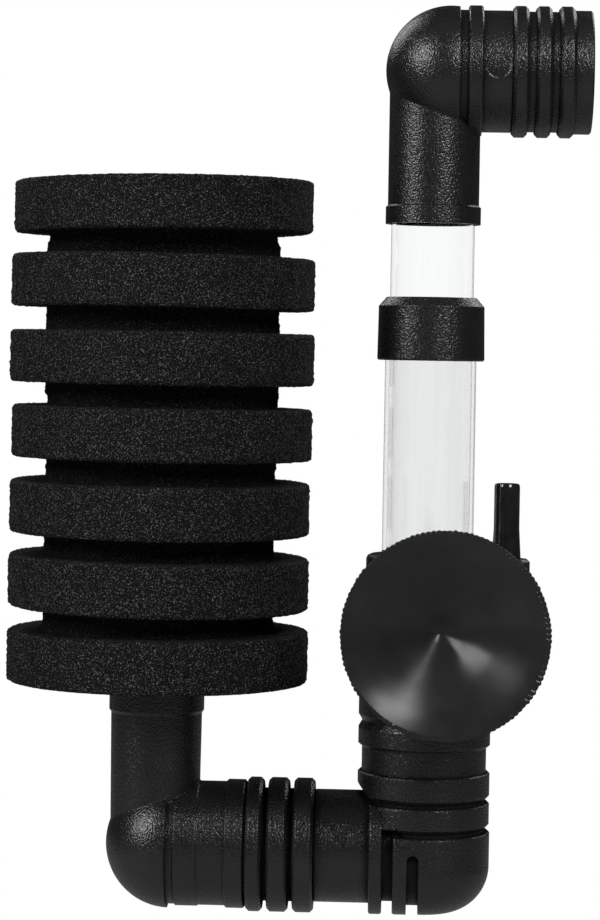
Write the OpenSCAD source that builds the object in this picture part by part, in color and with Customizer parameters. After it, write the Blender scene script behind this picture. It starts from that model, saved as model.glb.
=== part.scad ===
// Air-driven sponge filter with a telescopic riser, held on glass by a suction cup.
// The origin is the centre of the cup's rim, on the glass. +Y points away from the
// glass, +Z is up, and the sponge stands on the -X side of the riser.
// Heights in the Layout section are measured from the lowest point of the lower elbow.

/* [Layout] */
// Distance between the riser's axis and the sponge's axis
axis_spacing = 53.6; // [52:0.2:62]
// Height of the centre of the suction cup
cup_height = 59; // [56:0.5:62]
// Distance from the glass to the riser's axis
cup_reach = 38; // [38:0.5:44]
// Sideways offset of the suction cup from the riser's axis
cup_side = 3.4; // [0:0.1:4]
// Height of the outlet's centre line with the riser as stored
outlet_height = 168.4; // [160:0.2:190]

/* [Riser tubes] */
// Outer diameter of the fixed outer tube
outer_tube_d = 18.2; // [17.6:0.1:18.6]
// Wall thickness of the outer tube
outer_tube_wall = 0.7; // [0.6:0.05:1]
// Wall thickness of the inner tube
inner_tube_wall = 0.75; // [0.6:0.05:1.2]
// Length of the inner tube
inner_tube_l = 80; // [60:1:84]
// Height of the outer tube's top end
outer_tube_top = 118.8; // [112:0.2:120]

/* [Slide collar] */
// Length of the outer tube that the collar covers
collar_overlap = 8.3; // [6:0.1:12]
// Height of the collar above the outer tube's top end
collar_rise = 4.3; // [4.2:0.1:8]
// Largest diameter of the collar, at its lower edge
collar_d = 21.4; // [21.2:0.1:24]
// Diameter of the collar below its coned top
collar_neck_d = 21.1; // [20.8:0.1:21.2]
// Diameter of the flat top edge
collar_tip_d = 18; // [17.8:0.1:19]
// Height of the coned top
collar_cone_h = 1.8; // [1:0.1:2]
// Height of the rubber seal
seal_h = 1.6; // [1.2:0.1:1.8]
// Radial thickness of the rubber seal
seal_w = 1.45; // [1:0.05:1.5]
// Lip between the tube's end and the seal
collar_lip_h = 0.8; // [0.6:0.1:1]

/* [Air body] */
// Diameter of the air body and of the bands below it
body_d = 26.3; // [26:0.1:28]
// Height of the turning joint under the air body
body_bottom = 38.7; // [37:0.1:40]
// Height of the air body's rim
body_top = 71.8; // [70:0.1:80]
// Diameter at the bottom of the groove around the turning joint
joint_groove_d = 24.8; // [24.4:0.1:25.4]
// Height of the chamfer on each side of that groove
joint_chamfer_h = 1.3; // [0.8:0.1:1.6]
// Diameter of the rim around the riser
rim_d = 24.4; // [23:0.1:25.8]
// Height of the rim above the body's chamfered shoulder
rim_h = 2.9; // [1.4:0.1:4]
// Rounding of the rim
body_rim_r = 0.9; // [0.4:0.1:1.2]
// Thickness of the ledge under the outer tube
ledge_t = 2.3; // [1.5:0.1:3]

/* [Air inlet] */
// Distance from the riser's axis to the nipple's axis
nipple_offset = 15.7; // [15.2:0.1:17]
// Diameter of the boss around the air way
boss_d = 9.5; // [8:0.1:10]
// Height of the boss's top
boss_top = 71.3; // [70:0.1:74]
// Length of the boss
boss_l = 22; // [20:0.5:24]
// Diameter of the nipple where the airline seats
nipple_d = 5.1; // [4.6:0.1:5.2]
// Diameter of the nipple at its root
nipple_root_d = 5.8; // [5.4:0.1:6]
// Length of the nipple above the boss
nipple_l = 15; // [12:0.2:18]
// Length of the coned root
nipple_root_l = 6; // [4:0.5:8]
// Diameter of the air way
air_bore_d = 2.5; // [2:0.1:2.8]
// Diameter of the nipple's plug in the boss
nipple_plug_d = 4.4; // [4:0.1:5]
// Length of that plug
nipple_plug_l = 8; // [5:0.5:9]

/* [Bubble ring] */
// Height of the bubble ring
bubble_ring_h = 5.5; // [4.6:0.1:6]
// Inner diameter of the bubble ring
bubble_ring_bore_d = 17.4; // [17.2:0.1:18]
// Depth of the gallery around the bubble ring
gallery_depth = 0.9; // [0.5:0.1:1]
// Height of the gallery
gallery_h = 2.6; // [2:0.1:3]
// Diameter of one bubble hole
bubble_hole_d = 1; // [0.6:0.1:1.4]
// Number of bubble holes
bubble_holes = 12; // [6:1:18]

/* [Lower elbow] */
// Diameter over the ribs and the grip rings
rib_d = 26.6; // [26.4:0.1:27.4]
// Height of the corner block's flat bottom above the ribs' lowest point
block_lift = 0.7; // [0.2:0.1:1.2]
// Rounding between the corner block's side and its flat bottom
corner_r = 9.4; // [6:0.2:11]
// Diameter of the plain pipe
pipe_d = 22.3; // [21.6:0.1:23]
// Diameter of the spigot that turns in the foot elbow
spigot_d = 18.5; // [18:0.1:19]
// Length of that spigot
spigot_l = 20; // [14:0.5:22]
// Wall thickness of that spigot
spigot_wall = 1.85; // [1.4:0.05:2.4]
// Width of the rib next to the plain pipe
rib1_w = 2.6; // [2.2:0.1:3]
// Width of the second rib
rib2_w = 2.8; // [2.4:0.1:3]
// Distance from the riser's axis to the far side of the first rib
rib1_end = 10.6; // [10.4:0.1:11]
// Width of the groove between the two ribs
rib_gap = 2.1; // [1.8:0.1:2.4]
// Diameter at the bottom of that groove
rib_floor_d = 21.4; // [20.8:0.1:22]
// Width of the slot beside the corner block
slot_w = 2.3; // [1.6:0.1:2.4]
// Height of the slot's rounded end above the pipe's centre line
slot_top = 0.4; // [-1:0.1:1]
// Diameter at the bottom of that slot
slot_floor_d = 22.8; // [22:0.1:24]
// Diameter at the bottom of the notches in the upright arm
notch_floor_d = 24.4; // [24:0.1:25]
// Diameter of the wide recess in the upright arm
recess_d = 24.8; // [24:0.1:25.4]
// Top of the corner block above the pipe's centre line
block_top = 3.6; // [3.2:0.1:4]
// Width of the notch over the corner block
block_notch_w = 1.6; // [1.2:0.1:1.8]
// Width of the lowest band
band3_w = 4.2; // [4:0.1:4.6]
// Width of the notch over the lowest band
band_notch_w = 1.5; // [1.2:0.1:1.6]
// Height of the slanted underside of the two lower bands
band_slope_h = 1; // [0.4:0.1:1.1]
// Width of the middle band
band2_w = 4.5; // [4:0.1:5]
// Diameter of the spigot that turns in the air body
neck_d = 22; // [21.6:0.1:22.4]
// Length of that spigot
neck_l = 11.5; // [9:0.5:12]
// Diameter of the water way in the upright arm
neck_bore_d = 18; // [17:0.1:18.4]

/* [Foot elbow] */
// Diameter of the ball corner of both elbows
ball_d = 26; // [25.4:0.1:26.4]
// Distance from the foot arm's axis to the ball's centre
foot_ball_offset = 3.3; // [3:0.1:4]
// Place of the thin groove beside the ball
foot_groove_at = 2.8; // [2.4:0.1:3]
// Width of the thin groove
foot_groove_w = 1.6; // [1.2:0.1:1.8]
// Diameter at the bottom of the thin groove on both elbows
groove_floor_d = 24.4; // [24:0.1:24.8]
// Diameter of the first band
foot_band_a_d = 25; // [24.6:0.1:25.6]
// Far side of the first band
foot_band_a_end = 9; // [8:0.1:10]
// Diameter between the two bands
foot_waist_d = 24.6; // [24.2:0.1:24.9]
// Near side of the second band
foot_band_b_at = 14.4; // [13:0.1:15]
// Diameter of the second band
foot_band_b_d = 25.5; // [25:0.1:26]
// Distance from the foot arm's axis to the open end
foot_end = 32; // [31:0.1:34]
// Width of the two outer grip rings
foot_ring_w = 4.1; // [3.6:0.1:4.2]
// Width of the grip ring beside the second band
foot_first_ring_w = 3.2; // [2.8:0.1:3.4]
// Gap between the grip rings
foot_ring_gap = 1; // [0.8:0.1:1.2]
// Diameter between the grip rings
foot_ring_floor_d = 22.4; // [22:0.1:23.4]
// Diameter of the upright arm at the top
arm_d = 18.2; // [18:0.1:19]
// Diameter of the upright foot arm at the bottom
arm_root_d = 17.7; // [17.2:0.1:18]
// Diameter of the bead at the end of each upright arm
bead_d = 19; // [18.8:0.1:20]
// Height of the foot arm's top, which carries the sponge
foot_arm_top = 45.6; // [44:0.2:50]
// Length of the bead on the foot arm
foot_bead_l = 5.7; // [4:0.1:7]
// Depth of the strainer's socket in the foot arm
strainer_socket = 12; // [8:0.5:14]
// Water way under the strainer
foot_bore_d = 13.2; // [12:0.2:13.4]

/* [Outlet elbow] */
// Distance from the riser's axis to the ball's centre
outlet_ball_offset = 3.1; // [2.6:0.1:3.6]
// Place of the thin groove beside the ball
outlet_groove_at = 4.7; // [4.2:0.1:5.2]
// Width of the thin groove
outlet_groove_w = 1.7; // [1.2:0.1:2]
// Width of the ring beside that groove
outlet_band_w = 2.9; // [2.4:0.1:3.2]
// Diameter of that ring and of the grip rings
outlet_ring_d = 26.2; // [26:0.1:27]
// Diameter of the plain stretch
outlet_waist_d = 24.3; // [24:0.1:25]
// Place of the first grip ring
outlet_rings_at = 15.2; // [14:0.1:17]
// Width of one grip ring
outlet_ring_w = 3.1; // [2.6:0.1:3.6]
// Distance from one grip ring to the next
outlet_ring_pitch = 4.6; // [4.2:0.1:5]
// Number of grip rings
outlet_rings = 3; // [2:1:4]
// Diameter between the grip rings
outlet_ring_floor_d = 24; // [23.6:0.1:24.6]
// Diameter of the plain end
outlet_tip_d = 24.6; // [24:0.1:25]
// Length of the plain end
outlet_tip_l = 3.5; // [3:0.1:8]
// Inner diameter of the outlet's mouth
outlet_bore_d = 20.8; // [20:0.1:22]
// Length of the bead at the end of the outlet's arm
outlet_bead_l = 3.4; // [2.6:0.1:5]
// Length of the outlet's arm below its centre line
outlet_arm_l = 30.7; // [28:0.1:34]
// Depth of the inner tube's socket
outlet_socket = 14.3; // [10:0.1:15]
// Inner diameter of the arm above that socket
outlet_arm_bore_d = 14.8; // [13:0.2:15]

/* [Suction cup and its bracket] */
// Diameter of the suction cup
cup_d = 40; // [38:0.5:42]
// Width of the flat rim that seals on the glass
cup_rim_w = 1; // [0.8:0.1:1.4]
// Thickness of the cup's edge
cup_edge_t = 1.3; // [1:0.1:1.8]
// Depth of the hollow at its centre
cup_depth = 10.4; // [8:0.2:10.8]
// Height of the cup's back above the glass
cup_back = 13; // [13:0.1:14]
// Diameter of the cup's crown behind the hollow
cup_crown_d = 12; // [11:0.2:14]
// Diameter of the stem in the bracket
stem_d = 5.8; // [5:0.1:6.4]
// Diameter of the stem's head
stem_head_d = 10; // [9:0.1:10.6]
// Thickness of the stem's head
stem_head_t = 3.6; // [3:0.1:3.8]
// Thickness of the bracket's front plate
plate_t = 2.3; // [2:0.1:2.5]
// Width of the bracket
bracket_w = 17; // [15:0.2:18]
// Height of the bracket
bracket_h = 17; // [15:0.2:18]
// Thickness of the bracket's side walls and floor
bracket_wall = 2; // [1.6:0.1:2.2]
// Width of the rail's head
rail_head_w = 8; // [7:0.1:9]
// Thickness of the rail's head
rail_head_t = 1.5; // [1.2:0.1:1.6]
// Width of the rail's stem
rail_stem_w = 5; // [4:0.1:5.4]
// Share of the stem's diameter that the keyhole's neck leaves open
keyhole_share = 0.84; // [0.7:0.01:0.9]

/* [Strainer and sponge] */
// Diameter of the strainer tube
strainer_d = 16; // [15:0.1:16.4]
// Wall thickness of the strainer
strainer_wall = 1.2; // [1:0.1:1.4]
// Length of the strainer above the foot arm
strainer_l = 86; // [70:1:90]
// Height of one strainer slot
slot_h = 2.4; // [1.6:0.1:3]
// Number of slots in each column
slot_rows = 12; // [8:1:14]
// Number of slot columns
slot_columns = 4; // [3:1:5]
// Width of one strainer slot
slot_width = 8; // [5:0.5:9]
// Diameter of the sponge's discs
sponge_d = 60; // [50:1:60]
// Thickness of one disc
disc_h = 10; // [8:0.5:10]
// Width of one groove between discs
groove_h = 5; // [3:0.5:5]
// Depth of the grooves
groove_depth = 7; // [4:0.5:12]
// Number of discs
discs = 7; // [7:1:9]
// Chamfer on the discs' edges
sponge_edge = 0.8; // [0.4:0.1:1.5]

/* [Clearances] */
// Radial clearance of parts that turn in one another
turn_fit = 0.05; // [0.02:0.01:0.1]
// Radial clearance between the two riser tubes
slide_fit = 0.08; // [0.03:0.01:0.1]
// Radial clearance of parts that are pushed together for good
snug_fit = 0.02; // [0.01:0.01:0.05]
// Radial clearance between the sponge and its strainer
sponge_fit = 0.3; // [0.3:0.05:0.6]

/* [Hidden] */
$fn = 96;
black = "#1c1d1f";
rubber_black = "#151617";
clear = "#d9dee0";
edge = 0.3;          // small chamfer on ribs, bands and rings
cut = 1;             // how far a cutter runs past the face that it opens
far = 200;           // a size that is larger than the whole filter

pipe_z = rib_d / 2;
outer_tube_r = outer_tube_d / 2;
outer_tube_bore_r = outer_tube_r - outer_tube_wall;
inner_tube_r = outer_tube_bore_r - slide_fit;
inner_tube_top = outlet_height - outlet_arm_l + outlet_socket;
inner_tube_bottom = inner_tube_top - inner_tube_l;
neck_seat = body_bottom - pipe_z;
neck_socket_r = neck_d / 2 + turn_fit;
ring_bottom = body_bottom + neck_l;
ring_top = ring_bottom + bubble_ring_h;
tube_socket_bottom = ring_top + ledge_t;
gallery_z = (ring_bottom + ring_top) / 2;
collar_bottom = outer_tube_top - collar_overlap;
collar_top = outer_tube_top + collar_rise;
seal_bottom = outer_tube_top + collar_lip_h;
seal_bore_r = inner_tube_r + turn_fit / 2;
seal_r = seal_bore_r + seal_w;
collar_bore_r = inner_tube_r + slide_fit * 1.5;
spigot_bore_r = spigot_d / 2 - spigot_wall;
spigot_start = axis_spacing - foot_end;
stem_seat_r = stem_d / 2 + turn_fit;
plate_front = cup_back + turn_fit;
plate_back = plate_front + plate_t;
head_front = plate_back + turn_fit;
rail_back = cup_reach - body_d / 2;
pocket_back = head_front + stem_head_t + turn_fit;
rail_front = pocket_back + bracket_wall / 2;
rail_neck = rail_front + rail_head_t;
bracket_back = rail_back - edge;
strainer_r = strainer_d / 2;
strainer_bottom = foot_arm_top - strainer_socket;
strainer_top = foot_arm_top + strainer_l;
sponge_h = discs * disc_h + (discs - 1) * groove_h;
outlet_end = outlet_rings_at + (outlet_rings - 1) * outlet_ring_pitch + outlet_ring_w + outlet_tip_l;

// Moves a piece from the riser's own axis and base into the part's frame
module on_riser() translate([-cup_side, cup_reach, -cup_height]) children();

// Turned solid about Z, from [radius, distance] points
module turned(points) rotate_extrude() polygon(points);

// Points of one ring between two distances, with both edges chamfered
function ring(from, to, r, c = edge) = [[r - c, from], [r, from + c], [r, to - c], [r - c, to]];

// Cylinder between two heights
module bar(from, to, r) translate([0, 0, from]) cylinder(h = to - from, r = r);

// Half of space on one side of the mitre between the lower elbow's two arms
module mitre_half(upper) rotate([0, 45, 0])
  translate([-far / 2, -far / 2, upper ? 0 : -far]) cube(far);

// All of space between two distances along the horizontal arm and two heights
module across(from, to, bottom, top) translate([-to, -far / 2, bottom]) cube([to - from, far, top - bottom]);

// Cylinder along the horizontal arm
module arm_bar(from, to, r) rotate([0, -90, 0]) bar(from, to, r);

// Horizontal arm of the lower elbow, along +Z of its own frame
module base_arm() turned(concat(
  [[0, 0], [rib_d / 2, 0], [rib_d / 2, rib2_end - edge], [rib_d / 2 - edge, rib2_end]],
  [[rib_floor_d / 2, rib2_end], [rib_floor_d / 2, rib1_start]],
  ring(rib1_start, rib1_end, rib_d / 2),
  [[pipe_d / 2, rib1_end], [pipe_d / 2, spigot_start - edge], [pipe_d / 2 - edge, spigot_start]],
  [[spigot_d / 2, spigot_start], [spigot_d / 2, spigot_start + spigot_l - edge]],
  [[spigot_d / 2 - edge, spigot_start + spigot_l], [0, spigot_start + spigot_l]]
));
rib1_start = rib1_end - rib1_w;
rib2_end = rib1_start - rib_gap;
slot_end = rib2_end - rib2_w;
slot_start = slot_end - slot_w;

// Upright arm of the lower elbow above the corner block, from the pipe's centre line up
module base_upright() turned(concat(
  [[0, 0], [notch_floor_d / 2, 0], [notch_floor_d / 2, band3_start - band_slope_h], [body_d / 2, band3_start]],
  [[body_d / 2, band3_end - edge], [body_d / 2 - edge, band3_end], [notch_floor_d / 2, band3_end]],
  [[notch_floor_d / 2, band2_start - band_slope_h], [body_d / 2, band2_start]],
  [[body_d / 2, band2_start + band2_w - edge], [body_d / 2 - edge, band2_start + band2_w]],
  [[recess_d / 2, band2_start + band2_w], [recess_d / 2, band1_start - 2 * edge], [body_d / 2, band1_start]],
  [[body_d / 2, neck_seat - joint_chamfer_h], [joint_groove_d / 2, neck_seat], [neck_d / 2, neck_seat]],
  [[neck_d / 2, neck_seat + neck_l - edge], [neck_d / 2 - edge, neck_seat + neck_l], [0, neck_seat + neck_l]]
));
band3_start = block_top + block_notch_w;
band3_end = band3_start + band3_w;
band2_start = band3_end + band_notch_w;
band1_w = 3.2;       // height of the plain band below the turning joint
band1_start = neck_seat - joint_chamfer_h - band1_w;

// Turned corner block, with a flat bottom and a wide rounding
module corner_block() rotate_extrude() difference() {
  polygon([
    [0, block_bottom], [rib_d / 2, block_bottom], [rib_d / 2, block_top - edge], [rib_d / 2 - edge, block_top], [0, block_top]
  ]);
  difference() {
    translate([rib_d / 2 - corner_r, block_bottom - cut]) square([rib_d, corner_r + cut]);
    translate([rib_d / 2 - corner_r, block_bottom + corner_r]) circle(corner_r);
  }
}
block_bottom = block_lift - rib_d / 2;

// The ribs' arm below the mitre: its two ribs turn into the upright's band and block
module rib_side() {
  difference() {
    rotate([0, -90, 0]) base_arm();
    difference() {
      across(-cut, rib1_end + cut, band3_end, rib_d);
      arm_bar(-2 * cut, rib1_end + 2 * cut, pipe_d / 2);
    }
    difference() {
      across(-cut, rib1_start, block_top, band3_start);
      arm_bar(-2 * cut, rib1_start + cut, slot_floor_d / 2);
    }
  }
  intersection() {
    arm_bar(0, rib1_start + edge, body_d / 2);
    across(0, rib1_end, band3_start, rib_d);
  }
}

// Slot between the second rib and the block, open at the bottom
module corner_slot() difference() {
  rotate([90, 0, 0]) linear_extrude(far, center = true) {
    translate([-slot_end, -rib_d]) square([slot_w, rib_d + slot_top - slot_w / 2]);
    translate([-slot_end + slot_w / 2, slot_top - slot_w / 2]) circle(slot_w / 2);
  }
  arm_bar(0, slot_end + cut, slot_floor_d / 2);
}

module base_elbow() on_riser() translate([0, 0, pipe_z]) color(black) difference() {
  union() {
    intersection() {
      rib_side();
      mitre_half(false);
      across(slot_start, far, -rib_d, rib_d);
    }
    intersection() {
      base_upright();
      mitre_half(true);
    }
    intersection() {
      corner_block();
      union() {
        mitre_half(true);
        across(-rib_d, slot_start, -rib_d, rib_d);
      }
    }
  }
  corner_slot();
  arm_bar(0, spigot_start + spigot_l + cut, spigot_bore_r);
  sphere(neck_bore_d / 2);
  bar(0, neck_seat + neck_l + cut, neck_bore_d / 2);
}

// Ball corner of an elbow, cut off flat at the groove beside it
module ball_corner(offset, groove_at) intersection() {
  translate([offset, 0, 0]) sphere(ball_d / 2);
  translate([groove_at - far, -far / 2, -far / 2]) cube(far);
}

// Points of a run of grip rings
function grip(start, count, width, pitch, r, floor_r) = [
  for (i = [0 : count - 1], p = concat(
    [[floor_r, start + i * pitch]],
    ring(start + i * pitch, start + i * pitch + width, r, 2 * edge),
    [[floor_r, start + i * pitch + width]]
  )) p
];

foot_rings_start = foot_end - 2 * foot_ring_w - foot_ring_gap;
foot_first_ring = foot_rings_start - foot_ring_gap - foot_first_ring_w;

// Horizontal arm of the foot elbow, outside
module foot_arm() turned(concat(
  [[0, foot_groove_at - edge], [groove_floor_d / 2, foot_groove_at - edge]],
  [[groove_floor_d / 2, foot_groove_at + foot_groove_w]],
  ring(foot_groove_at + foot_groove_w, foot_band_a_end, foot_band_a_d / 2, edge / 2),
  [[foot_waist_d / 2, foot_band_a_end], [foot_waist_d / 2, foot_band_b_at]],
  ring(foot_band_b_at, foot_first_ring - edge, foot_band_b_d / 2),
  grip(foot_first_ring, 1, foot_first_ring_w, 0, rib_d / 2, foot_ring_floor_d / 2),
  grip(foot_rings_start, 2, foot_ring_w, foot_ring_w + foot_ring_gap, rib_d / 2, foot_ring_floor_d / 2),
  [[0, foot_end]]
));

module foot_elbow() on_riser() translate([-axis_spacing, 0, 0]) color(black) difference() {
  union() {
    translate([0, 0, pipe_z]) ball_corner(foot_ball_offset, foot_groove_at);
    translate([0, 0, pipe_z]) rotate([0, 90, 0]) foot_arm();
    turned([
      [0, pipe_z], [arm_root_d / 2, pipe_z], [arm_d / 2, foot_arm_top - foot_bead_l - 2 * edge],
      [bead_d / 2, foot_arm_top - foot_bead_l], [bead_d / 2, foot_arm_top], [0, foot_arm_top]
    ]);
  }
  bar(strainer_bottom, foot_arm_top + cut, strainer_r + snug_fit);
  bar(pipe_z, foot_arm_top, foot_bore_d / 2);
  translate([0, 0, pipe_z]) {
    sphere(foot_bore_d / 2);
    rotate([0, 90, 0]) bar(0, foot_end + cut, spigot_bore_r);
    rotate([0, 90, 0]) bar(foot_end - spigot_l, foot_end + cut, spigot_d / 2 + turn_fit);
  }
}

// Horizontal arm of the outlet elbow, outside
module outlet_arm() turned(concat(
  [[0, outlet_groove_at - edge], [groove_floor_d / 2, outlet_groove_at - edge]],
  [[groove_floor_d / 2, outlet_groove_at + outlet_groove_w]],
  ring(outlet_groove_at + outlet_groove_w, outlet_band_end, outlet_ring_d / 2),
  [[outlet_waist_d / 2, outlet_band_end], [outlet_waist_d / 2, outlet_rings_at - edge]],
  grip(outlet_rings_at, outlet_rings, outlet_ring_w, outlet_ring_pitch, outlet_ring_d / 2, outlet_ring_floor_d / 2),
  [[outlet_tip_d / 2, outlet_end - outlet_tip_l], [outlet_tip_d / 2, outlet_end - edge]],
  [[outlet_tip_d / 2 - edge, outlet_end], [0, outlet_end]]
));
outlet_band_end = outlet_groove_at + outlet_groove_w + outlet_band_w;

module outlet_elbow() on_riser() translate([0, 0, outlet_height]) color(black) difference() {
  union() {
    ball_corner(outlet_ball_offset, outlet_groove_at);
    rotate([0, 90, 0]) outlet_arm();
    turned([
      [0, -outlet_arm_l], [bead_d / 2, -outlet_arm_l], [bead_d / 2, outlet_bead_l - outlet_arm_l],
      [arm_d / 2, outlet_bead_l - outlet_arm_l + edge], [arm_d / 2, 0], [0, 0]
    ]);
  }
  bar(-outlet_arm_l - cut, outlet_socket - outlet_arm_l, inner_tube_r + turn_fit);
  bar(-outlet_arm_l, 0, outlet_arm_bore_d / 2);
  translate([outlet_ball_offset, 0, 0]) sphere(outlet_bore_d / 2);
  rotate([0, 90, 0]) bar(outlet_ball_offset, outlet_end + cut, outlet_bore_d / 2);
}

module inner_riser_tube() on_riser() color(clear, 0.4) difference() {
  bar(inner_tube_bottom, inner_tube_top, inner_tube_r);
  bar(inner_tube_bottom - cut, inner_tube_top + cut, inner_tube_r - inner_tube_wall);
}

module outer_riser_tube() on_riser() color(clear, 0.4) difference() {
  bar(tube_socket_bottom, outer_tube_top, outer_tube_r);
  bar(tube_socket_bottom - cut, outer_tube_top + cut, outer_tube_bore_r);
}

module slide_collar() on_riser() color(black) difference() {
  turned([
    [0, collar_bottom], [collar_d / 2 - edge, collar_bottom], [collar_d / 2, collar_bottom + edge],
    [collar_neck_d / 2, collar_top - collar_cone_h], [collar_tip_d / 2, collar_top], [0, collar_top]
  ]);
  bar(collar_bottom - cut, outer_tube_top, outer_tube_r + snug_fit);
  bar(seal_bottom, seal_bottom + seal_h, seal_r + snug_fit);
  bar(collar_bottom, collar_top + cut, collar_bore_r);
}

module collar_seal() on_riser() color(rubber_black) difference() {
  bar(seal_bottom, seal_bottom + seal_h, seal_r);
  bar(seal_bottom - cut, seal_bottom + seal_h + cut, seal_bore_r);
}

// Rail on the air body that the suction cup's bracket slides on
module bracket_rail() {
  translate([cup_side, 0, cup_height - bracket_h / 2 + bracket_wall]) {
    translate([-rail_head_w / 2, rail_front - cup_reach, 0]) cube([rail_head_w, rail_head_t, rail_l]);
    translate([-rail_stem_w / 2, rail_front - cup_reach, 0]) cube([rail_stem_w, cup_reach - rail_front, rail_l]);
  }
}
rail_l = bracket_h - bracket_wall;

module air_body() on_riser() color(black) difference() {
  union() {
    turned([
      [0, body_bottom], [joint_groove_d / 2, body_bottom], [body_d / 2, body_bottom + joint_chamfer_h],
      [body_d / 2, body_top - rim_h - (body_d - rim_d) / 2], [rim_d / 2, body_top - rim_h],
      [rim_d / 2, body_top - body_rim_r], [rim_d / 2 - body_rim_r / 3, body_top - body_rim_r / 3],
      [rim_d / 2 - body_rim_r, body_top], [0, body_top]
    ]);
    translate([nipple_offset, 0, 0]) turned([
      [0, boss_top - boss_l], [boss_d / 4, boss_top - boss_l], [boss_d / 2, boss_top - boss_l + boss_d / 2],
      [boss_d / 2, boss_top - 2 * edge], [boss_d / 2 - 2 * edge, boss_top], [0, boss_top]
    ]);
    bracket_rail();
  }
  bar(body_bottom - cut, ring_top, neck_socket_r);
  bar(ring_top, body_top + cut, bubble_ring_bore_d / 2);
  bar(tube_socket_bottom, body_top + cut, outer_tube_r + snug_fit);
  translate([nipple_offset, 0, 0]) {
    bar(gallery_z, boss_top, air_bore_d / 2);
    bar(boss_top - nipple_plug_l, boss_top + cut, nipple_plug_d / 2 + snug_fit);
  }
  translate([0, 0, gallery_z]) rotate([0, 90, 0]) bar(0, nipple_offset, air_bore_d / 2);
}

module air_nipple() on_riser() translate([nipple_offset, 0, boss_top]) color(rubber_black) difference() {
  turned([
    [0, -nipple_plug_l], [nipple_plug_d / 2, -nipple_plug_l], [nipple_plug_d / 2, 0], [nipple_root_d / 2, 0],
    [nipple_d / 2, nipple_root_l], [nipple_d / 2, nipple_l - 2 * edge], [nipple_d / 2 - edge / 2, nipple_l - edge / 2],
    [nipple_d / 2 - 2 * edge, nipple_l], [0, nipple_l]
  ]);
  bar(-nipple_plug_l - cut, nipple_l + cut, air_bore_d / 2);
}

module bubble_ring() on_riser() color(black) difference() {
  bar(ring_bottom, ring_top, neck_socket_r - snug_fit);
  bar(ring_bottom - cut, ring_top + cut, bubble_ring_bore_d / 2);
  difference() {
    bar(gallery_z - gallery_h / 2, gallery_z + gallery_h / 2, neck_socket_r + cut);
    bar(gallery_z - gallery_h, gallery_z + gallery_h, neck_socket_r - gallery_depth);
  }
  for (i = [0 : bubble_holes - 1]) {
    translate([0, 0, gallery_z]) rotate([0, 90, i * 360 / bubble_holes]) bar(0, neck_socket_r, bubble_hole_d / 2);
  }
}

// Block centred on the cup's axis, between two distances from the glass
module bracket_block(width, from, to, bottom, top) {
  translate([-width / 2, from, bottom]) cube([width, to - from, top - bottom]);
}

module cup_bracket() color(black) difference() {
  bracket_block(bracket_w, plate_front, bracket_back, -bracket_h / 2, bracket_h / 2);
  rotate([-90, 0, 0]) bar(plate_front - cut, plate_back + cut, stem_seat_r);
  bracket_block(stem_d * keyhole_share, plate_front - cut, plate_back + cut, 0, bracket_h);
  bracket_block(bracket_w - 2 * bracket_wall, plate_back, pocket_back, bracket_wall - bracket_h / 2, bracket_h);
  bracket_block(rail_head_w + 2 * turn_fit, rail_front - turn_fit, rail_neck + turn_fit, rail_stop, bracket_h);
  bracket_block(rail_stem_w + 2 * turn_fit, rail_front, bracket_back + cut, rail_stop, bracket_h);
}
rail_stop = bracket_wall - bracket_h / 2;

module suction_cup() color(rubber_black) rotate([-90, 0, 0]) turned([
  [cup_d / 2 - cup_rim_w, 0], [cup_d / 2, 0], [cup_d / 2, cup_edge_t], [cup_d * 0.44, cup_edge_t * 2.2],
  [cup_d * 0.33, cup_back * 0.52], [cup_d * 0.22, cup_back * 0.8], [cup_crown_d / 2, cup_back],
  [stem_d / 2, cup_back], [stem_d / 2, head_front], [stem_head_d / 2, head_front],
  [stem_head_d / 2, head_front + stem_head_t - edge], [stem_head_d / 2 - edge, head_front + stem_head_t],
  [0, head_front + stem_head_t], [0, cup_depth], [cup_d * 0.04, cup_depth * 0.95],
  [cup_d * 0.2, cup_depth * 0.56], [cup_d * 0.34, cup_depth * 0.24], [cup_d / 2 - cup_rim_w * 1.6, cup_edge_t * 0.4]
]);

module strainer_tube() on_riser() translate([-axis_spacing, 0, 0]) color(black) difference() {
  bar(strainer_bottom, strainer_top, strainer_r);
  bar(strainer_bottom - cut, strainer_top - strainer_wall, strainer_r - strainer_wall);
  for (row = [0 : slot_rows - 1], column = [0 : slot_columns - 1]) {
    translate([0, 0, foot_arm_top + strainer_l * (row + 1) / (slot_rows + 1)])
      rotate([0, 0, (column + 0.5) * 360 / slot_columns])
        translate([strainer_d / 4, -slot_width / 2, -slot_h / 2]) cube([strainer_d / 2, slot_width, slot_h]);
  }
}

// Outline points of one disc of the sponge and the groove above it
function disc(z, last) = concat(
  ring(z, z + disc_h, sponge_d / 2, sponge_edge),
  last ? [] : [[sponge_d / 2 - groove_depth, z + disc_h], [sponge_d / 2 - groove_depth, z + disc_h + groove_h]]
);

module sponge() on_riser() translate([-axis_spacing, 0, foot_arm_top]) color("#1b1b1c") difference() {
  turned(concat(
    [[0, 0]],
    [for (i = [0 : discs - 1], p = disc(i * (disc_h + groove_h), i == discs - 1)) p],
    [[0, sponge_h]]
  ));
  bar(-cut, strainer_l + sponge_fit * 2, strainer_r + sponge_fit);
}

outlet_elbow();
inner_riser_tube();
slide_collar();
collar_seal();
outer_riser_tube();
air_body();
air_nipple();
bubble_ring();
cup_bracket();
suction_cup();
base_elbow();
foot_elbow();
strainer_tube();
sponge();
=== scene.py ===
"""Looks of an aquarium sponge filter: foam, grained black mouldings, clear tubes and a rubber cup."""
import math

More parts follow.
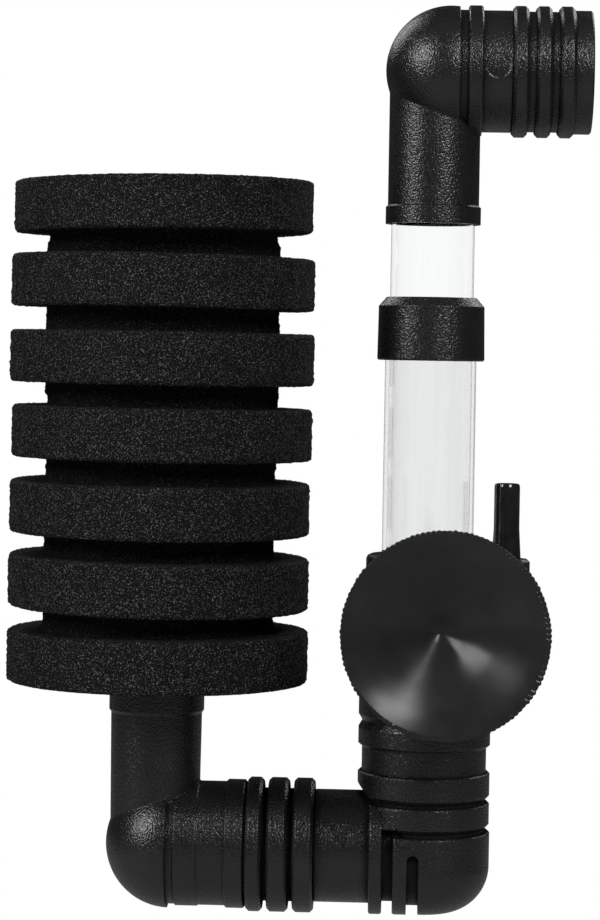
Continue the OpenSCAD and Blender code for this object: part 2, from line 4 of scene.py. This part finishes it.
import bpy
import numpy as np
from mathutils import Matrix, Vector

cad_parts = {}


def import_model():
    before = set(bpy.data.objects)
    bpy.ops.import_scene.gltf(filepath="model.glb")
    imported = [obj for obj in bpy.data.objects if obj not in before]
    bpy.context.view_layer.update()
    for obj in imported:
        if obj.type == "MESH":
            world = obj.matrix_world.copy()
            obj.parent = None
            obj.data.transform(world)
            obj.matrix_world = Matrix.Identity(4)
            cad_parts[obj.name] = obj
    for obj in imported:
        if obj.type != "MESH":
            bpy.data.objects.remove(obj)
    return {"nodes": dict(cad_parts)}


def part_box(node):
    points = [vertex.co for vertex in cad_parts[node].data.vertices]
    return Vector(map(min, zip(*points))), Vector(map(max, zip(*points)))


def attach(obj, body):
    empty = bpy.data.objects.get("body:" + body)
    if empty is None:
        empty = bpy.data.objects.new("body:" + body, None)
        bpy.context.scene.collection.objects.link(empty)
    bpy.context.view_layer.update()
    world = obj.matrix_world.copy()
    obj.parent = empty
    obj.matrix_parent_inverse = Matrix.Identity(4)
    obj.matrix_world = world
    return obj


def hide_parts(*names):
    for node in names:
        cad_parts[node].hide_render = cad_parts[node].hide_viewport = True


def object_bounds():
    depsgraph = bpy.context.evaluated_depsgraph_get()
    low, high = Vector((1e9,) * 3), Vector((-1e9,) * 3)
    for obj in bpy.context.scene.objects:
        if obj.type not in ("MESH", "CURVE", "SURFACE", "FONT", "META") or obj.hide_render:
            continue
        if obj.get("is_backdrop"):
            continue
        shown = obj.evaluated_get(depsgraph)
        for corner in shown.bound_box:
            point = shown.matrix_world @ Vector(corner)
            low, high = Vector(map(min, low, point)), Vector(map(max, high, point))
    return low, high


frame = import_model()
cad_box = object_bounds()

MM = 0.001
SEED = 7

GRAIN_SIZE, GRAIN_DEPTH = 0.34 * MM, 0.12 * MM
EDGE_R = 0.3 * MM  # rounding that the mouldings' sharp edges catch the light with
PAINTED_SHADE_REACH = 2.2 * MM  # width below which a groove's reflections fade out, as painted shade
PIN_R, PIN_DEPTH = 2.5 * MM, 0.16 * MM
PIN_ASIDE, PIN_DOWN = 12.2 * MM, 12.9 * MM  # from the riser's axis, and from the outlet's top
PORE_SIZE, PORE_DEPTH = 0.29 * MM, 0.25 * MM
DARK_R, LIGHT_R = 23.5 * MM, 26 * MM  # painted shade: the foam's colour darkens inwards between these radii, into the grooves
TIP_R = 0.05 * MM  # radius at which the cup's outline ends beside its axis
LAMP_DISTANCE = 0.9


# ---------------------------------------------------------------- materials

class Shader:
    """A material with helpers for wiring its nodes."""

    def __init__(self, name):
        self.material = bpy.data.materials.new(name)
        self.material.use_nodes = True
        self.tree = self.material.node_tree
        self.main = self.tree.nodes["Principled BSDF"]
        self.place = self.add("ShaderNodeTexCoord").outputs["Object"]

    def add(self, kind, **settings):
        node = self.tree.nodes.new(kind)
        for key, value in settings.items():
            setattr(node, key, value)
        return node

    def link(self, source, target):
        self.tree.links.new(source, target)

    def set(self, **sockets):
        for key, value in sockets.items():
            self.main.inputs[key.replace("_", " ")].default_value = value

    def noise(self, size, detail=2.0, stretch=(1, 1, 1), rough=0.5):
        """Noise with features of the given size in metres."""
        mapping = self.add("ShaderNodeMapping")
        mapping.inputs["Scale"].default_value = stretch
        self.link(self.place, mapping.inputs["Vector"])
        node = self.add("ShaderNodeTexNoise")
        node.inputs["Scale"].default_value = 1 / size
        node.inputs["Detail"].default_value = detail
        node.inputs["Roughness"].default_value = rough
        self.link(mapping.outputs["Vector"], node.inputs["Vector"])
        return node.outputs["Fac"]

    def ramp(self, source, low, high, start=0.3, end=0.7):
        """Source from start to end becomes low to high, as colours or grey levels."""
        node = self.add("ShaderNodeMapRange")
        if isinstance(low, (int, float)):
            node.inputs["From Min"].default_value = start
            node.inputs["From Max"].default_value = end
            node.inputs["To Min"].default_value = low
            node.inputs["To Max"].default_value = high
            self.link(source, node.inputs["Value"])
            return node.outputs["Result"]
        self.tree.nodes.remove(node)
        node = self.add("ShaderNodeValToRGB")
        node.color_ramp.elements[0].position = start
        node.color_ramp.elements[0].color = (*low, 1)
        node.color_ramp.elements[1].position = end
        node.color_ramp.elements[1].color = (*high, 1)
        self.link(source, node.inputs["Fac"])
        return node.outputs["Color"]

    def math(self, operation, first, second):
        node = self.add("ShaderNodeMath", operation=operation)
        for slot, value in zip(node.inputs, (first, second)):
            if isinstance(value, (int, float)):
                slot.default_value = value
            else:
                self.link(value, slot)
        return node.outputs["Value"]

    def split_place(self):
        """The place's X, Y and Z."""
        node = self.add("ShaderNodeSeparateXYZ")
        self.link(self.place, node.inputs["Vector"])
        return node.outputs

    def distance(self, first, first_at, second, second_at):
        """Distance from the line where the two coordinates have the given values."""
        one = self.math("SUBTRACT", first, first_at)
        other = self.math("SUBTRACT", second, second_at)
        squares = self.math("ADD", self.math("MULTIPLY", one, one), self.math("MULTIPLY", other, other))
        return self.math("SQRT", squares, 0)

    def soft_edges(self, radius):
        """Normals that round the sharp edges of a moulding, so that they catch the light."""
        node = self.add("ShaderNodeBevel")
        node.samples = 6
        node.inputs["Radius"].default_value = radius
        return node.outputs["Normal"]

    def open_sky(self, reach):
        """How open a place is to its surroundings, from 0 in a narrow groove to 1 on a bare face."""
        node = self.add("ShaderNodeAmbientOcclusion")
        node.samples = 6
        node.inputs["Distance"].default_value = reach
        return node.outputs["AO"]

    def bump(self, height, depth, strength=1.0, under=None):
        """Bumps of the given depth in metres, on top of another bump if one is given."""
        node = self.add("ShaderNodeBump")
        node.inputs["Strength"].default_value = strength
        node.inputs["Distance"].default_value = depth
        self.link(height, node.inputs["Height"])
        if under:
            self.link(under, node.inputs["Normal"])
        return node.outputs["Normal"]


def moulded_plastic(name, mark=None):
    """Black plastic from a spark-eroded mould: a fine sparkling grain, faint clouding, and painted shade
    that dims the reflections in narrow grooves.

    A mark is the place of the round trace that the mould's pin leaves on the front.
    """
    s = Shader(name)
    grain = s.noise(GRAIN_SIZE, detail=0.6, rough=0.5)
    cloud = s.noise(9 * MM, detail=3)
    colour = s.ramp(cloud, (0.0045, 0.0046, 0.0049), (0.0075, 0.0077, 0.0081))
    s.link(colour, s.main.inputs["Base Color"])
    s.link(s.ramp(grain, 0.20, 0.38), s.main.inputs["Roughness"])
    broad = s.bump(cloud, 0.05 * MM, 0.3, s.soft_edges(EDGE_R))
    if mark:
        at = s.split_place()
        away = s.distance(at["X"], mark.x, at["Z"], mark.z)
        inside = s.ramp(away, 0.0, 1.0, PIN_R - 0.2 * MM, PIN_R + 0.1 * MM)
        back = s.math("GREATER_THAN", at["Y"], mark.y)
        broad = s.bump(s.math("MAXIMUM", inside, back), PIN_DEPTH, 1.0, broad)
    s.link(s.bump(grain, GRAIN_DEPTH, 1.0, broad), s.main.inputs["Normal"])
    # painted shade: ambient occlusion turns down the reflections in narrow grooves and creases, so that
    # they go dark
    shine = s.ramp(s.open_sky(PAINTED_SHADE_REACH), 0.0, 0.5, 0.55, 0.9)
    s.link(shine, s.main.inputs["Specular IOR Level"])
    s.set(IOR=1.49)
    return s.material


def gloss_plastic():
    """Smooth glossy black plastic of the airline nipple."""
    s = Shader("gloss_black")
    cloud = s.noise(3 * MM)
    s.link(s.ramp(cloud, (0.006, 0.006, 0.0065), (0.011, 0.011, 0.012)), s.main.inputs["Base Color"])
    s.link(s.ramp(cloud, 0.06, 0.14), s.main.inputs["Roughness"])
    s.link(s.bump(cloud, 0.02 * MM, 0.4), s.main.inputs["Normal"])
    s.set(IOR=1.5)
    return s.material


def soft_rubber():
    """Satin black rubber of the suction cup, with a faint skin texture."""
    s = Shader("soft_rubber")
    cloud = s.noise(6 * MM, detail=3)
    skin = s.noise(0.5 * MM, detail=2)
    s.link(s.ramp(cloud, (0.011, 0.011, 0.0113), (0.015, 0.015, 0.0153)), s.main.inputs["Base Color"])
    s.link(s.ramp(cloud, 0.20, 0.26), s.main.inputs["Roughness"])
    broad = s.bump(cloud, 0.08 * MM, 0.35)
    s.link(s.bump(skin, 0.012 * MM, 0.35, broad), s.main.inputs["Normal"])
    s.set(IOR=1.52, Specular_IOR_Level=0.17)
    return s.material


def clear_tube(name, tint):
    """Clear plastic tube with faint drawing lines along it."""
    s = Shader(name)
    lines = s.noise(0.9 * MM, detail=2, stretch=(1, 1, 0.03))
    dark = tuple(c * 0.985 for c in tint)
    s.link(s.ramp(lines, dark, tint), s.main.inputs["Base Color"])
    s.link(s.ramp(lines, 0.015, 0.06), s.main.inputs["Roughness"])
    s.set(IOR=1.25, Transmission_Weight=1.0)
    return s.material


def foam():
    """Open-cell black foam: dark pores between lighter strands, and painted shade darkening it in the
    grooves.
    """
    s = Shader("foam")
    low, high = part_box("sponge")
    pores = s.noise(PORE_SIZE, detail=1.5, rough=0.6)
    strand = s.ramp(pores, 0.0, 1.0, 0.54, 0.65)
    shade = s.noise(4 * MM, detail=3)
    lift = s.math("MULTIPLY", strand, s.ramp(shade, 0.75, 1.1))
    at = s.split_place()
    radius = s.distance(at["X"], (low.x + high.x) / 2, at["Y"], (low.y + high.y) / 2)
    # painted shade: the colour falls to about half towards the axis, deep in the grooves between the discs
    rim = s.ramp(radius, 0.5, 1.0, DARK_R, LIGHT_R)
    dark, light = (0.0022, 0.0022, 0.0023), (0.088, 0.088, 0.089)
    colour = s.ramp(s.math("MULTIPLY", lift, rim), dark, light, 0.0, 1.0)
    s.link(colour, s.main.inputs["Base Color"])
    s.link(s.bump(strand, PORE_DEPTH, 1.0), s.main.inputs["Normal"])
    s.set(Roughness=0.8, IOR=1.45, Specular_IOR_Level=0.12)
    return s.material


tube_low, tube_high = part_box("inner_riser_tube")
riser_axis = (tube_low + tube_high) / 2
outlet_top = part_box("outlet_elbow")[1].z
PIN_MARK = Vector((riser_axis.x + PIN_ASIDE, riser_axis.y, outlet_top - PIN_DOWN))
MOULDED = moulded_plastic("moulded_black")
MARKED = moulded_plastic("moulded_outlet", PIN_MARK)
GLOSS = gloss_plastic()
RUBBER = soft_rubber()
INNER_CLEAR = clear_tube("clear_inner", (0.985, 0.99, 0.99))
OUTER_CLEAR = clear_tube("clear_outer", (0.93, 0.932, 0.932))
FOAM = foam()

NODE_FINISH = {
    "outlet_elbow": MARKED, "slide_collar": MOULDED, "air_body": MOULDED, "bubble_ring": MOULDED,
    "cup_bracket": MOULDED, "base_elbow": MOULDED, "foot_elbow": MOULDED, "strainer_tube": MOULDED,
    "inner_riser_tube": INNER_CLEAR, "outer_riser_tube": OUTER_CLEAR, "air_nipple": GLOSS,
    "collar_seal": RUBBER,
}
for name, material in NODE_FINISH.items():
    for slot in frame["nodes"][name].material_slots:
        slot.material = material


# ---------------------------------------------------------------- mesh tools

def grid(outline, around):
    """Angles around the axis, and the outline's radius and height at each of them."""
    angle = np.linspace(0, 2 * math.pi, around, endpoint=False)
    return angle, np.repeat(outline[:, :1], around, axis=1), np.repeat(outline[:, 1:], around, axis=1)


def turned_piece(name, x, y, z, material, body):
    """A smooth piece from rows of points around an axis, capped at both ends, on a CAD body."""
    rows, around = x.shape
    faces = [
        (r * around + a, r * around + (a + 1) % around,
         (r + 1) * around + (a + 1) % around, (r + 1) * around + a)
        for r in range(rows - 1) for a in range(around)
    ]
    faces.append(tuple(range(around))[::-1])
    faces.append(tuple(range((rows - 1) * around, rows * around)))
    mesh = bpy.data.meshes.new(name)
    mesh.from_pydata(np.stack([x, y, z], axis=-1).reshape(-1, 3).tolist(), [], faces)
    mesh.validate()
    mesh.shade_smooth()
    mesh.materials.append(material)
    obj = bpy.data.objects.new(name, mesh)
    bpy.context.scene.collection.objects.link(obj)
    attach(obj, body)
    return obj


def along(points, step):
    """Points of an outline with no stretch longer than step."""
    out = [points[0]]
    for (r0, z0), (r1, z1) in zip(points, points[1:]):
        pieces = max(1, math.ceil(math.hypot(r1 - r0, z1 - z0) / step))
        out += [
            (r0 + (r1 - r0) * i / pieces, z0 + (z1 - z0) * i / pieces)
            for i in range(1, pieces + 1)
        ]
    return out


# ---------------------------------------------------------------- sponge

def sponge():
    """Grooved foam block: turned, then swollen, slanted and roughened disc by disc."""
    low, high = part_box("sponge")
    axis = (low + high) / 2
    radius = (high.x - low.x) / 2
    discs, disc_h, groove_h, groove_depth = 7, 10.3 * MM, 4.65 * MM, 7 * MM
    bore_r, bore_top = 8.3 * MM, low.z + 86.6 * MM
    groove_r = radius - groove_depth
    lip = 0.8 * MM
    core_r = 0.2 * MM
    quarter = [math.radians(turn * 22.5) for turn in range(5)]
    fade_from, fade_over = 4 * MM, 8 * MM
    swell_size, tilt_size = 0.22 * MM, 0.12 * MM
    fuzz_out, fuzz_up = 0.11 * MM, 0.05 * MM
    floor_gap, lean = 0.06 * MM, 0.2 * MM
    slant = np.array([0.006, -0.010, -0.004, -0.004, -0.002, -0.005, 0.012])
    sag = np.array([0.0, 0.2, 0.3, 0.4, 0.4, 0.35, 0.2]) * MM
    around = 320
    draw = np.random.default_rng(SEED)

    outline = [(core_r, bore_top), (bore_r, bore_top), (bore_r, low.z)]
    for i in range(discs):
        bottom = low.z + i * (disc_h + groove_h)
        top = bottom + disc_h
        outline += [(radius - lip + lip * math.sin(a), bottom + lip - lip * math.cos(a)) for a in quarter]
        outline += [(radius - lip + lip * math.cos(a), top - lip + lip * math.sin(a)) for a in quarter]
        if i < discs - 1:
            outline += [(groove_r, top), (groove_r, top + groove_h)]
    outline.append((core_r, high.z))
    angle, r, z = grid(np.array(along(outline, 0.62 * MM)), around)

    disc_of = np.clip(np.floor((z - low.z + groove_h / 2) / (disc_h + groove_h)), 0, discs - 1).astype(int)
    swell = np.zeros_like(r)
    for lobes in (1, 2, 3, 5):
        size = draw.normal(0, swell_size / lobes ** 0.5, discs)
        phase = draw.uniform(0, 2 * math.pi, discs)
        swell += size[disc_of] * np.cos(lobes * angle[None, :] + phase[disc_of])
    tilt = draw.normal(0, tilt_size, discs)
    lift = slant[disc_of] * r * np.cos(angle) + tilt[disc_of] * np.sin(angle) * (r / radius) - sag[disc_of]
    outer = np.clip((r - bore_r - fade_from) / fade_over, 0, 1)
    ends = np.clip((z - low.z) / (4 * MM), 0, 1)
    r = r + swell * outer
    z = z + lift * outer * ends
    r = r + draw.normal(0, fuzz_out, r.shape) * outer
    z = z + draw.normal(0, fuzz_up, z.shape) * outer * np.clip((z - low.z) / MM, 0, 1)
    z = np.maximum(z, low.z + floor_gap)
    x = axis.x + r * np.cos(angle) - lean * np.clip((high.z - z) / (high.z - low.z), 0, 1)
    y = axis.y + r * np.sin(angle)
    piece = turned_piece("foam_sponge", x, y, z, FOAM, "foam")
    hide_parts("sponge")


# ---------------------------------------------------------------- suction cup

def suction_cup():
    """Rubber cup with a toothed rim, whose hollow's slopes place the two streaks of light."""
    low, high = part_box("suction_cup")
    radius = (high.x - low.x) / 2
    centre_x, centre_z = (high.x + low.x) / 2, (high.z + low.z) / 2
    teeth, around = 120, 720
    rim_w, edge_t = 0.85 * MM, 1.3 * MM
    back, crown_r = 13 * MM, 6 * MM
    stem_r, head_r = 2.9 * MM, 5 * MM
    head_front, head_back = 15.4 * MM, 19.0 * MM

    rim_depth = 0.12 * MM
    tooth_front, tooth_side = 0.3 * MM, 0.28 * MM
    dent_at, dent_from = math.radians(120), 0.6

    inner = radius - rim_w
    steps = np.linspace(inner, TIP_R, 60)
    slope_at = np.array([0, 0.8, 2.5, 5, 8, 11, 15, 17, 19.2]) * MM

    def hollow_with(slopes):
        """Depth of the hollow at each step inwards from the rim, from its slopes in degrees."""
        slope = np.radians(np.interp(steps, slope_at, slopes))
        deeper = np.cumsum(np.tan(slope[:-1]) * -np.diff(steps))
        return np.concatenate([[rim_depth], rim_depth + deeper])

    hollow = hollow_with([0, 24, 32, 31.8, 31.5, 31.1, 28, 24.4, 21])
    steeper = hollow_with([0, 20, 29, 35, 30.5, 26.3, 26, 25.2, 21])
    steeper *= hollow[-1] / steeper[-1]
    outline = list(zip(steps, hollow))[::-1] + [
        (inner + 0.15 * MM, 0.0), (radius - 0.2 * MM, 0.0),
        (radius, 0.2 * MM), (radius, edge_t - 0.25 * MM), (radius - 0.25 * MM, edge_t),
        (17.6 * MM, 2.85 * MM), (13.2 * MM, 6.75 * MM), (8.8 * MM, 10.4 * MM),
        (crown_r + 0.4 * MM, back - 0.5 * MM), (crown_r - 0.2 * MM, back),
        (stem_r, back), (stem_r, head_front), (head_r - 0.3 * MM, head_front),
        (head_r, head_front + 0.3 * MM), (head_r, head_back - 0.5 * MM), (head_r - 0.5 * MM, head_back),
        (TIP_R, head_back),
    ]
    angle, r, y = grid(np.array(along(outline, 0.8 * MM)), around)
    at_rim = np.clip((r - inner) / (0.12 * MM), 0, 1)
    draw = np.random.default_rng(SEED + 1)
    height = np.repeat(draw.uniform(0.25, 1.0, teeth), around // teeth)
    tooth = np.abs(np.sin(angle * teeth / 2)) * height
    outer_edge = np.clip((r - (radius - 0.7 * MM)) / (0.4 * MM), 0, 1)
    front = (np.arange(len(r)) <= len(steps) + 1)[:, None]
    y = y + front * at_rim * tooth_front * (1 - tooth)
    dented = np.clip((np.cos(angle - dent_at) - dent_from) / (1 - dent_from), 0, 1) ** 1.5
    y[:len(steps)] += (steeper - hollow)[::-1, None] * dented
    hub = np.clip(1 - r / inner, 0, 1)
    shifted = front * np.clip((radius - r) / rim_w, 0, 1)
    notch = outer_edge * tooth_side * (1 - tooth)
    x = centre_x + r * np.sin(angle) - shifted * (0.5 + 0.35 * hub) * MM
    z = centre_z + r * np.cos(angle) + shifted * (0.1 - 0.3 * hub) * MM
    x = x - notch * np.sin(angle)
    z = z - notch * np.cos(angle)
    piece = turned_piece("rubber_cup", x, y, z, RUBBER, "cup")
    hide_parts("suction_cup")


# ---------------------------------------------------------------- stage, light and camera

def backdrop_material(name, colour):
    """White to the camera and through clear plastic, dimmer to gloss, and of its own colour as light."""
    s = Shader(name)
    s.set(Roughness=0.9)
    s.main.inputs["Base Color"].default_value = (*colour, 1)
    path = s.add("ShaderNodeLightPath")
    glow = s.add("ShaderNodeEmission")
    glow.inputs["Color"].default_value = (1, 1, 1, 1)
    seen = s.math("MAXIMUM", path.outputs["Is Camera Ray"], path.outputs["Is Transmission Ray"])
    dimmed = s.math("MULTIPLY", path.outputs["Is Glossy Ray"], 0.6)
    s.link(seen, glow.inputs["Strength"])
    mix = s.add("ShaderNodeMixShader")
    s.link(s.math("MAXIMUM", seen, dimmed), mix.inputs["Fac"])
    s.link(s.main.outputs["BSDF"], mix.inputs[1])
    s.link(glow.outputs["Emission"], mix.inputs[2])
    output = s.tree.nodes["Material Output"]
    s.link(mix.outputs["Shader"], output.inputs["Surface"])
    return s.material


def stage():
    """A wide pale floor, far enough below the part for the poses that swing down."""
    low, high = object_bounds()
    middle = (low + high) / 2
    drop = 0.105
    size = 3.0
    mesh = bpy.data.meshes.new("floor")
    corners = [(-size, -size), (size, -size), (size, size), (-size, size)]
    points = [(middle.x + x, middle.y + y, low.z - drop) for x, y in corners]
    mesh.from_pydata(points, [], [(0, 1, 2, 3)])
    mesh.materials.append(backdrop_material("pale_floor", (0.82, 0.82, 0.82)))
    floor = bpy.data.objects.new("floor", mesh)
    bpy.context.scene.collection.objects.link(floor)
    floor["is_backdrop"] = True


def world(glow, gloss):
    """White to the camera and through clear plastic, dimmer as light and in reflections."""
    made = bpy.data.worlds.new("studio")
    bpy.context.scene.world = made
    made.use_nodes = True
    tree = made.node_tree
    back = tree.nodes["Background"]
    back.inputs["Color"].default_value = (1, 1, 1, 1)
    path = tree.nodes.new("ShaderNodeLightPath")
    seen = tree.nodes.new("ShaderNodeMath")
    seen.operation = "MAXIMUM"
    tree.links.new(path.outputs["Is Camera Ray"], seen.inputs[0])
    tree.links.new(path.outputs["Is Transmission Ray"], seen.inputs[1])
    shine = tree.nodes.new("ShaderNodeMapRange")
    shine.inputs["To Min"].default_value = glow
    shine.inputs["To Max"].default_value = gloss
    tree.links.new(path.outputs["Is Glossy Ray"], shine.inputs["Value"])
    level = tree.nodes.new("ShaderNodeMix")
    level.inputs["B"].default_value = 1.0
    tree.links.new(seen.outputs["Value"], level.inputs["Factor"])
    tree.links.new(shine.outputs["Result"], level.inputs["A"])
    tree.links.new(level.outputs["Result"], back.inputs["Strength"])


def lamp(name, target, azimuth, elevation, width, height, watts):
    """Soft box that faces the target; azimuth 0 is on the camera's side and grows to the right."""
    a, e = math.radians(azimuth), math.radians(elevation)
    away = Vector((math.sin(a) * math.cos(e), -math.cos(a) * math.cos(e), math.sin(e)))
    data = bpy.data.lights.new(name, "AREA")
    data.shape = "RECTANGLE"
    data.size, data.size_y = width, height
    data.energy = watts
    obj = bpy.data.objects.new(name, data)
    obj.location = target + away * LAMP_DISTANCE
    obj.rotation_mode = "QUATERNION"
    obj.rotation_quaternion = (-away).to_track_quat("-Z", "Y")
    bpy.context.scene.collection.objects.link(obj)


def camera():
    """Level long-lens camera before the riser, rolled a touch because the object leans."""
    aside, before, above = 0.0048, 0.6116, 0.1123
    roll, turn = math.radians(-1.0), math.radians(2.0)
    riser_low, riser_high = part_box("outer_riser_tube")
    riser = (riser_low + riser_high) / 2
    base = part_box("base_elbow")[0].z
    data = bpy.data.cameras.new("camera")
    data.sensor_width = 36
    data.lens = 119.75
    data.shift_y = -0.1202
    data.clip_start, data.clip_end = 0.01, 20
    obj = bpy.data.objects.new("camera", data)
    obj.location = (riser.x - aside, riser.y - before, base + above)
    obj.rotation_euler = (math.pi / 2, roll, turn)
    bpy.context.scene.collection.objects.link(obj)
    bpy.context.scene.camera = obj


sponge()
suction_cup()
stage()
world(glow=0.22, gloss=0.04)
middle = (cad_box[0] + cad_box[1]) / 2
lamp("left_box", middle, -56, 26, 0.3, 0.42, 5.8)
lamp("right_box", middle, 32, 32, 0.24, 0.36, 5.6)
lamp("top_box", middle, 0, 75, 0.8, 0.8, 0.3)
lamp("rear_left_box", middle, -145, 35, 0.3, 0.42, 1.3)
lamp("rear_right_box", middle, 145, 35, 0.3, 0.42, 1.3)
camera()

scene = bpy.context.scene
scene.view_settings.view_transform = "Standard"
